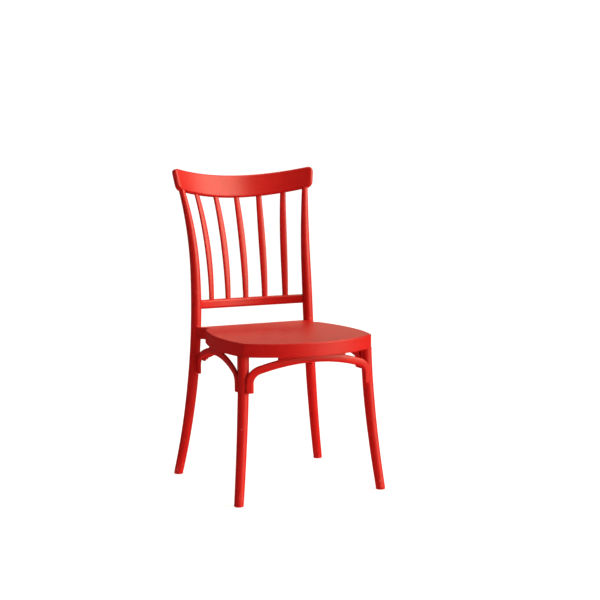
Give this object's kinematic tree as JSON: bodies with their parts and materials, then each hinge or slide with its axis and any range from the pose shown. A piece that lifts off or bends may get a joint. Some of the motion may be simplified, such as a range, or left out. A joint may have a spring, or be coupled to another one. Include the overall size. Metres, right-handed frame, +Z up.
{
  "type": "spindle-back stacking chair",
  "caption": "Armless dining chair in moulded plastic with a bowed crest, slender back spindles, splayed legs and curved arches under the seat.",
  "frame": {"origin": "centre of the chair's bounding box on the floor, between the four feet", "axes": "+X to the chair's right as seen from the front, +Y from the seat's front edge towards the back, +Z up from the floor"},
  "size_m": [0.4846, 0.5951, 0.8987],
  "materials": {
    "seat_plastic": "satin red polypropylene, fine moulded grain",
    "frame_plastic": "satin red polypropylene, smooth",
    "glide_plastic": "satin red polypropylene foot glide",
    "zinc_steel": "zinc-plated steel",
    "insert_brass": "knurled brass, dull"
  },
  "bodies": {
    "root": {"seat": "seat_plastic", "front_leg_left": "frame_plastic", "front_leg_right": "frame_plastic", "rear_post_left": "frame_plastic", "rear_post_right": "frame_plastic", "crest_rail": "frame_plastic", "back_rail": "frame_plastic", "spindle_1": "frame_plastic", "spindle_2": "frame_plastic", "spindle_3": "frame_plastic", "spindle_4": "frame_plastic", "spindle_5": "frame_plastic", "front_arch": "frame_plastic", "side_arch_left": "frame_plastic", "side_arch_right": "frame_plastic", "rear_arch": "frame_plastic", "glide_front_left": "glide_plastic", "glide_front_right": "glide_plastic", "glide_rear_left": "glide_plastic", "glide_rear_right": "glide_plastic", "leg_bolts": "zinc_steel", "leg_inserts": "insert_brass", "arch_screws": "zinc_steel", "back_screws": "zinc_steel"}
  },
  "joints": []
}
